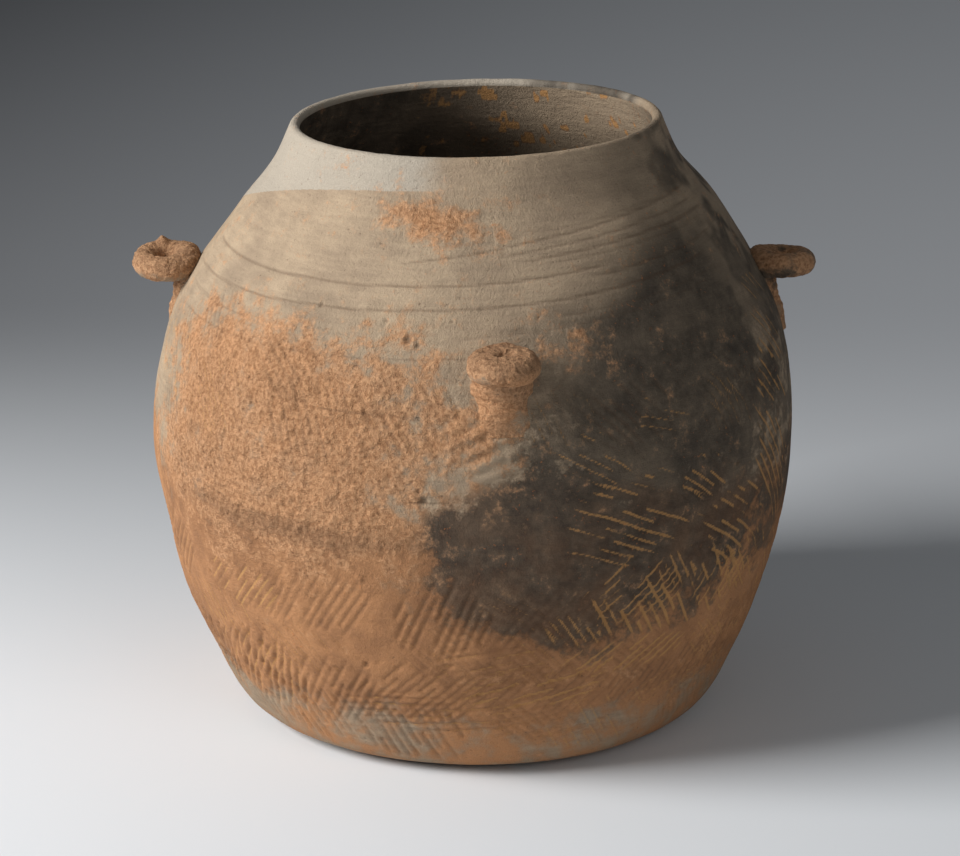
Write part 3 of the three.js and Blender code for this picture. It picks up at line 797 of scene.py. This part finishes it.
# Coats on the clay: how much noise makes their edge ragged, the shares between which they fade in, and how
# strongly they cover. Shades are the noise between a colour's dark and light
clayCoats = {
    "orange": (2.4, 0.2, 0.75, 0.9), "ash": (0.25, 0.35, 0.6, 0.8), "crust": (2.0, 0.12, 0.5, 0.85),
    "ochre": (0.8, 0.25, 0.6, 0.75), "soot": (0.22, 0.8), "sootRagged": 2.9, "sootCalm": 2.45,
    "sootCalmFrom": (0.16, 0.235), "film": (0.3, 0.62), "filmCover": (0.26, 0.7),
    "grooveAndShadeDark": (0.2, 0.9), "grooveAndShadeCover": 0.36, "ochreClean": 1.2, "speck": (0.60, 0.72), "speckCover": 0.5,
    "speckPlaces": (0.45, 0.6), "pock": (0.37, 0.30), "pockCover": 0.55,
    "buffShades": (0.28, 0.72), "orangeShades": (0.3, 0.7), "sootShades": (0.32, 0.68),
    "crustShades": (0.35, 0.65), "grainShade": (0.5, 0.76),
}
clayGloss = {"roughness": (0.2, 0.74), "specular": 0.25, "crustBump": (1.4, 0.55), "bumpStrength": 0.9,
             "bumpDistance": 0.0022}

# Fired clay: each finish's share is made ragged with noise, then the colours are laid over each other
def clayMaterial():
    material = bpy.data.materials.new("fired_clay")
    t = Tree(material)
    coats = clayCoats
    where = t.add("ShaderNodeTexCoord").outputs["Object"]
    share = {key: t.add("ShaderNodeAttribute", attribute_name=key).outputs["Fac"] for key in finishes}
    stretched = t.add("ShaderNodeMapping", {"Vector": where, "Scale": streakStretch}).outputs[0]
    n = {key: t.noise(stretched if key == "streak" else where, *values) for key, values in clayNoise.items()}
    for key, weights in clayMixtures.items():
        n[key] = t.weighted(*[(n[part], weight) for part, weight in weights.items()])

    def ragged(key, texture, amount, low, high):
        shift = t.times(t.maths("SUBTRACT", texture, 0.5), amount)
        return t.ramp(t.maths("ADD", share[key], shift), low, high)

    def shades(name, texture):
        return t.mix(t.ramp(texture, *coats[name + "Shades"]), linear(name + "Dark"), linear(name))

    def coat(key, texture, under, over):
        *edge, cover = coats[key]
        return t.mix(t.times(ragged(key, texture, *edge), cover), under, over)

    colour = shades("buff", n["blotch"])
    colour = coat("orange", n["mottle"], colour, shades("orange", n["mottle"]))
    colour = coat("ash", n["middle"], colour, linear("ash"))
    # The soot's edge is calmer high on the jar, and its film is thinner in places
    upper = t.ramp(t.add("ShaderNodeSeparateXYZ", {0: where}).outputs[2], *coats["sootCalmFrom"])
    flaking = t.maths("SUBTRACT", coats["sootRagged"], t.times(upper, coats["sootCalm"]))
    film = t.line(t.ramp(n["coarse"], *coats["film"]), *coats["filmCover"])
    soot = t.times(ragged("soot", n["edge"], flaking, *coats["soot"]), film)
    colour = t.mix(soot, colour, shades("soot", n["middle"]))
    colour = coat("crust", n["edge"], colour, shades("crust", n["fine"]))
    colour = coat("ochre", n["fine"], colour, linear("ochre"))
    # The grooves are darker where ochre doesn't lie, and so is the band under the crust, as painted shade;
    # orange specks lie in places, and pocks are dark
    bare = t.maths("SUBTRACT", share["groove"], t.times(share["ochre"], coats["ochreClean"]), True)
    colour = t.mix(t.times(t.ramp(bare, *coats["grooveAndShadeDark"]), coats["grooveAndShadeCover"]), colour, linear("grooveAndShadeDark"))
    specks = t.times(t.ramp(n["fine"], *coats["speck"]), coats["speckCover"])
    speckled = t.mix(specks, colour, linear("speck"))
    colour = t.mix(t.ramp(n["coarse"], *coats["speckPlaces"]), colour, speckled)
    colour = t.mix(t.times(t.ramp(n["fine"], *coats["pock"]), coats["pockCover"]), colour, linear("grooveAndShadeDark"))
    shade = t.line(n["grain"], *coats["grainShade"])
    grey = t.add("ShaderNodeCombineColor", {0: shade, 1: shade, 2: shade}).outputs[0]
    colour = t.mix(1.0, colour, grey, "MULTIPLY")
    height = t.times(n["bump"], t.line(share["crust"], *clayGloss["crustBump"]))
    bump = t.add("ShaderNodeBump", {"Height": height, "Strength": clayGloss["bumpStrength"],
                                    "Distance": clayGloss["bumpDistance"]}).outputs[0]
    roughness = t.line(n["middle"], *clayGloss["roughness"])
    t.finish({"Base Color": colour, "Roughness": roughness, "Normal": bump}, clayGloss["specular"])
    return material

clay = clayMaterial()
print("clay material made")

def finishPiece(piece, node):
    piece.data.materials.append(clay)
    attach(piece, "root")
    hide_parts(node)
    print("piece", piece.name, len(piece.data.polygons))

seams = jar["seams"]
lipSeam = jarHeight - jar["lipCoil"]
finishPiece(basePiece("base_disc_clay"), "base_disc")
finishPiece(heelPiece("heel_ring_clay", seams[0]), "heel_ring")
rings = [("lower_wall_ring", "clay_lower"), ("lower_belly_ring", "clay_belly"),
         ("upper_belly_ring", "clay_belly"), ("shoulder_ring", "clay_shoulder"), ("neck_ring", "clay_neck")]
for (node, slot), low, high in zip(rings, seams, seams[1:] + [lipSeam]):
    finishPiece(ringPiece(node + "_clay", low, high), node)
finishPiece(lipPiece("lip_coil_clay", lipSeam), "lip_coil")
for side in lugs:
    finishPiece(lugLoop(side), side + "_lug_loop")
    finishPiece(lugWeb(side), side + "_lug_web")

# Floor, lamps and sky, in metres and watts. The floor is pale near the jar and fades towards the back,
# where it is dark at the left and grey at the right. This fading is painted shade, standing in for the
# lamps' light falling off
studio = {
    "floorHalf": 6.0, "floorNear": (0.74, 0.76, 0.78, 1), "shadeNearToFar": (-0.12, 0.72),
    "shadeLeftToRight": (-1.2, 1.2),
    "farLeftShade": (0.035, 0.037, 0.04, 1), "farRightShade": (0.56, 0.575, 0.6, 1), "floorRoughness": 0.9,
    "floorSpecular": 0.1, "sky": (0.9, 0.95, 1.0, 1), "skyStrength": 0.13, "target": (0, 0, 0.15),
    "lamps": {"key": {"stand": (-1.9, -0.62, 1.3), "power": 76, "size": 1.1},
              "fill": {"stand": (1.3, -2.0, 1.4), "power": 9, "size": 1.4}},
}

def makeFloor():
    half = studio["floorHalf"]
    data = bpy.data.meshes.new("floor")
    corners = [(-half, -half, 0), (half, -half, 0), (half, half, 0), (-half, half, 0)]
    data.from_pydata(corners, [], [(0, 1, 2, 3)])
    floor = newObject("floor", data)
    material = bpy.data.materials.new("floor_with_painted_shade")
    t = Tree(material)
    where = t.add("ShaderNodeSeparateXYZ", {0: t.add("ShaderNodeTexCoord").outputs["Object"]})
    # Painted shade: the floor's colour darkens towards the back, most at the left
    depth = t.ramp(where.outputs[1], *studio["shadeNearToFar"])
    far = t.mix(t.ramp(where.outputs[0], *studio["shadeLeftToRight"]), studio["farLeftShade"], studio["farRightShade"])
    colour = t.mix(depth, studio["floorNear"], far)
    t.finish({"Base Color": colour, "Roughness": studio["floorRoughness"]}, studio["floorSpecular"])
    data.materials.append(material)

# A square lamp turned towards the jar's middle
def areaLight(name, stand, power, size):
    data = bpy.data.lights.new(name, "AREA")
    data.energy = power
    data.size = size
    lamp = newObject(name, data)
    lamp.location = stand
    x, y, z = np.array(studio["target"]) - np.array(stand)
    lamp.rotation_euler = (math.atan2(math.hypot(x, y), -z), 0, math.atan2(y, x) - math.pi / 2)

makeFloor()
for name, values in studio["lamps"].items():
    areaLight(name, **values)
world = bpy.data.worlds.new("studio")
world.use_nodes = True
world.node_tree.nodes["Background"].inputs[0].default_value = studio["sky"]
world.node_tree.nodes["Background"].inputs[1].default_value = studio["skyStrength"]
bpy.context.scene.world = world
bpy.context.scene.view_settings.view_transform = "Standard"
print("studio made")
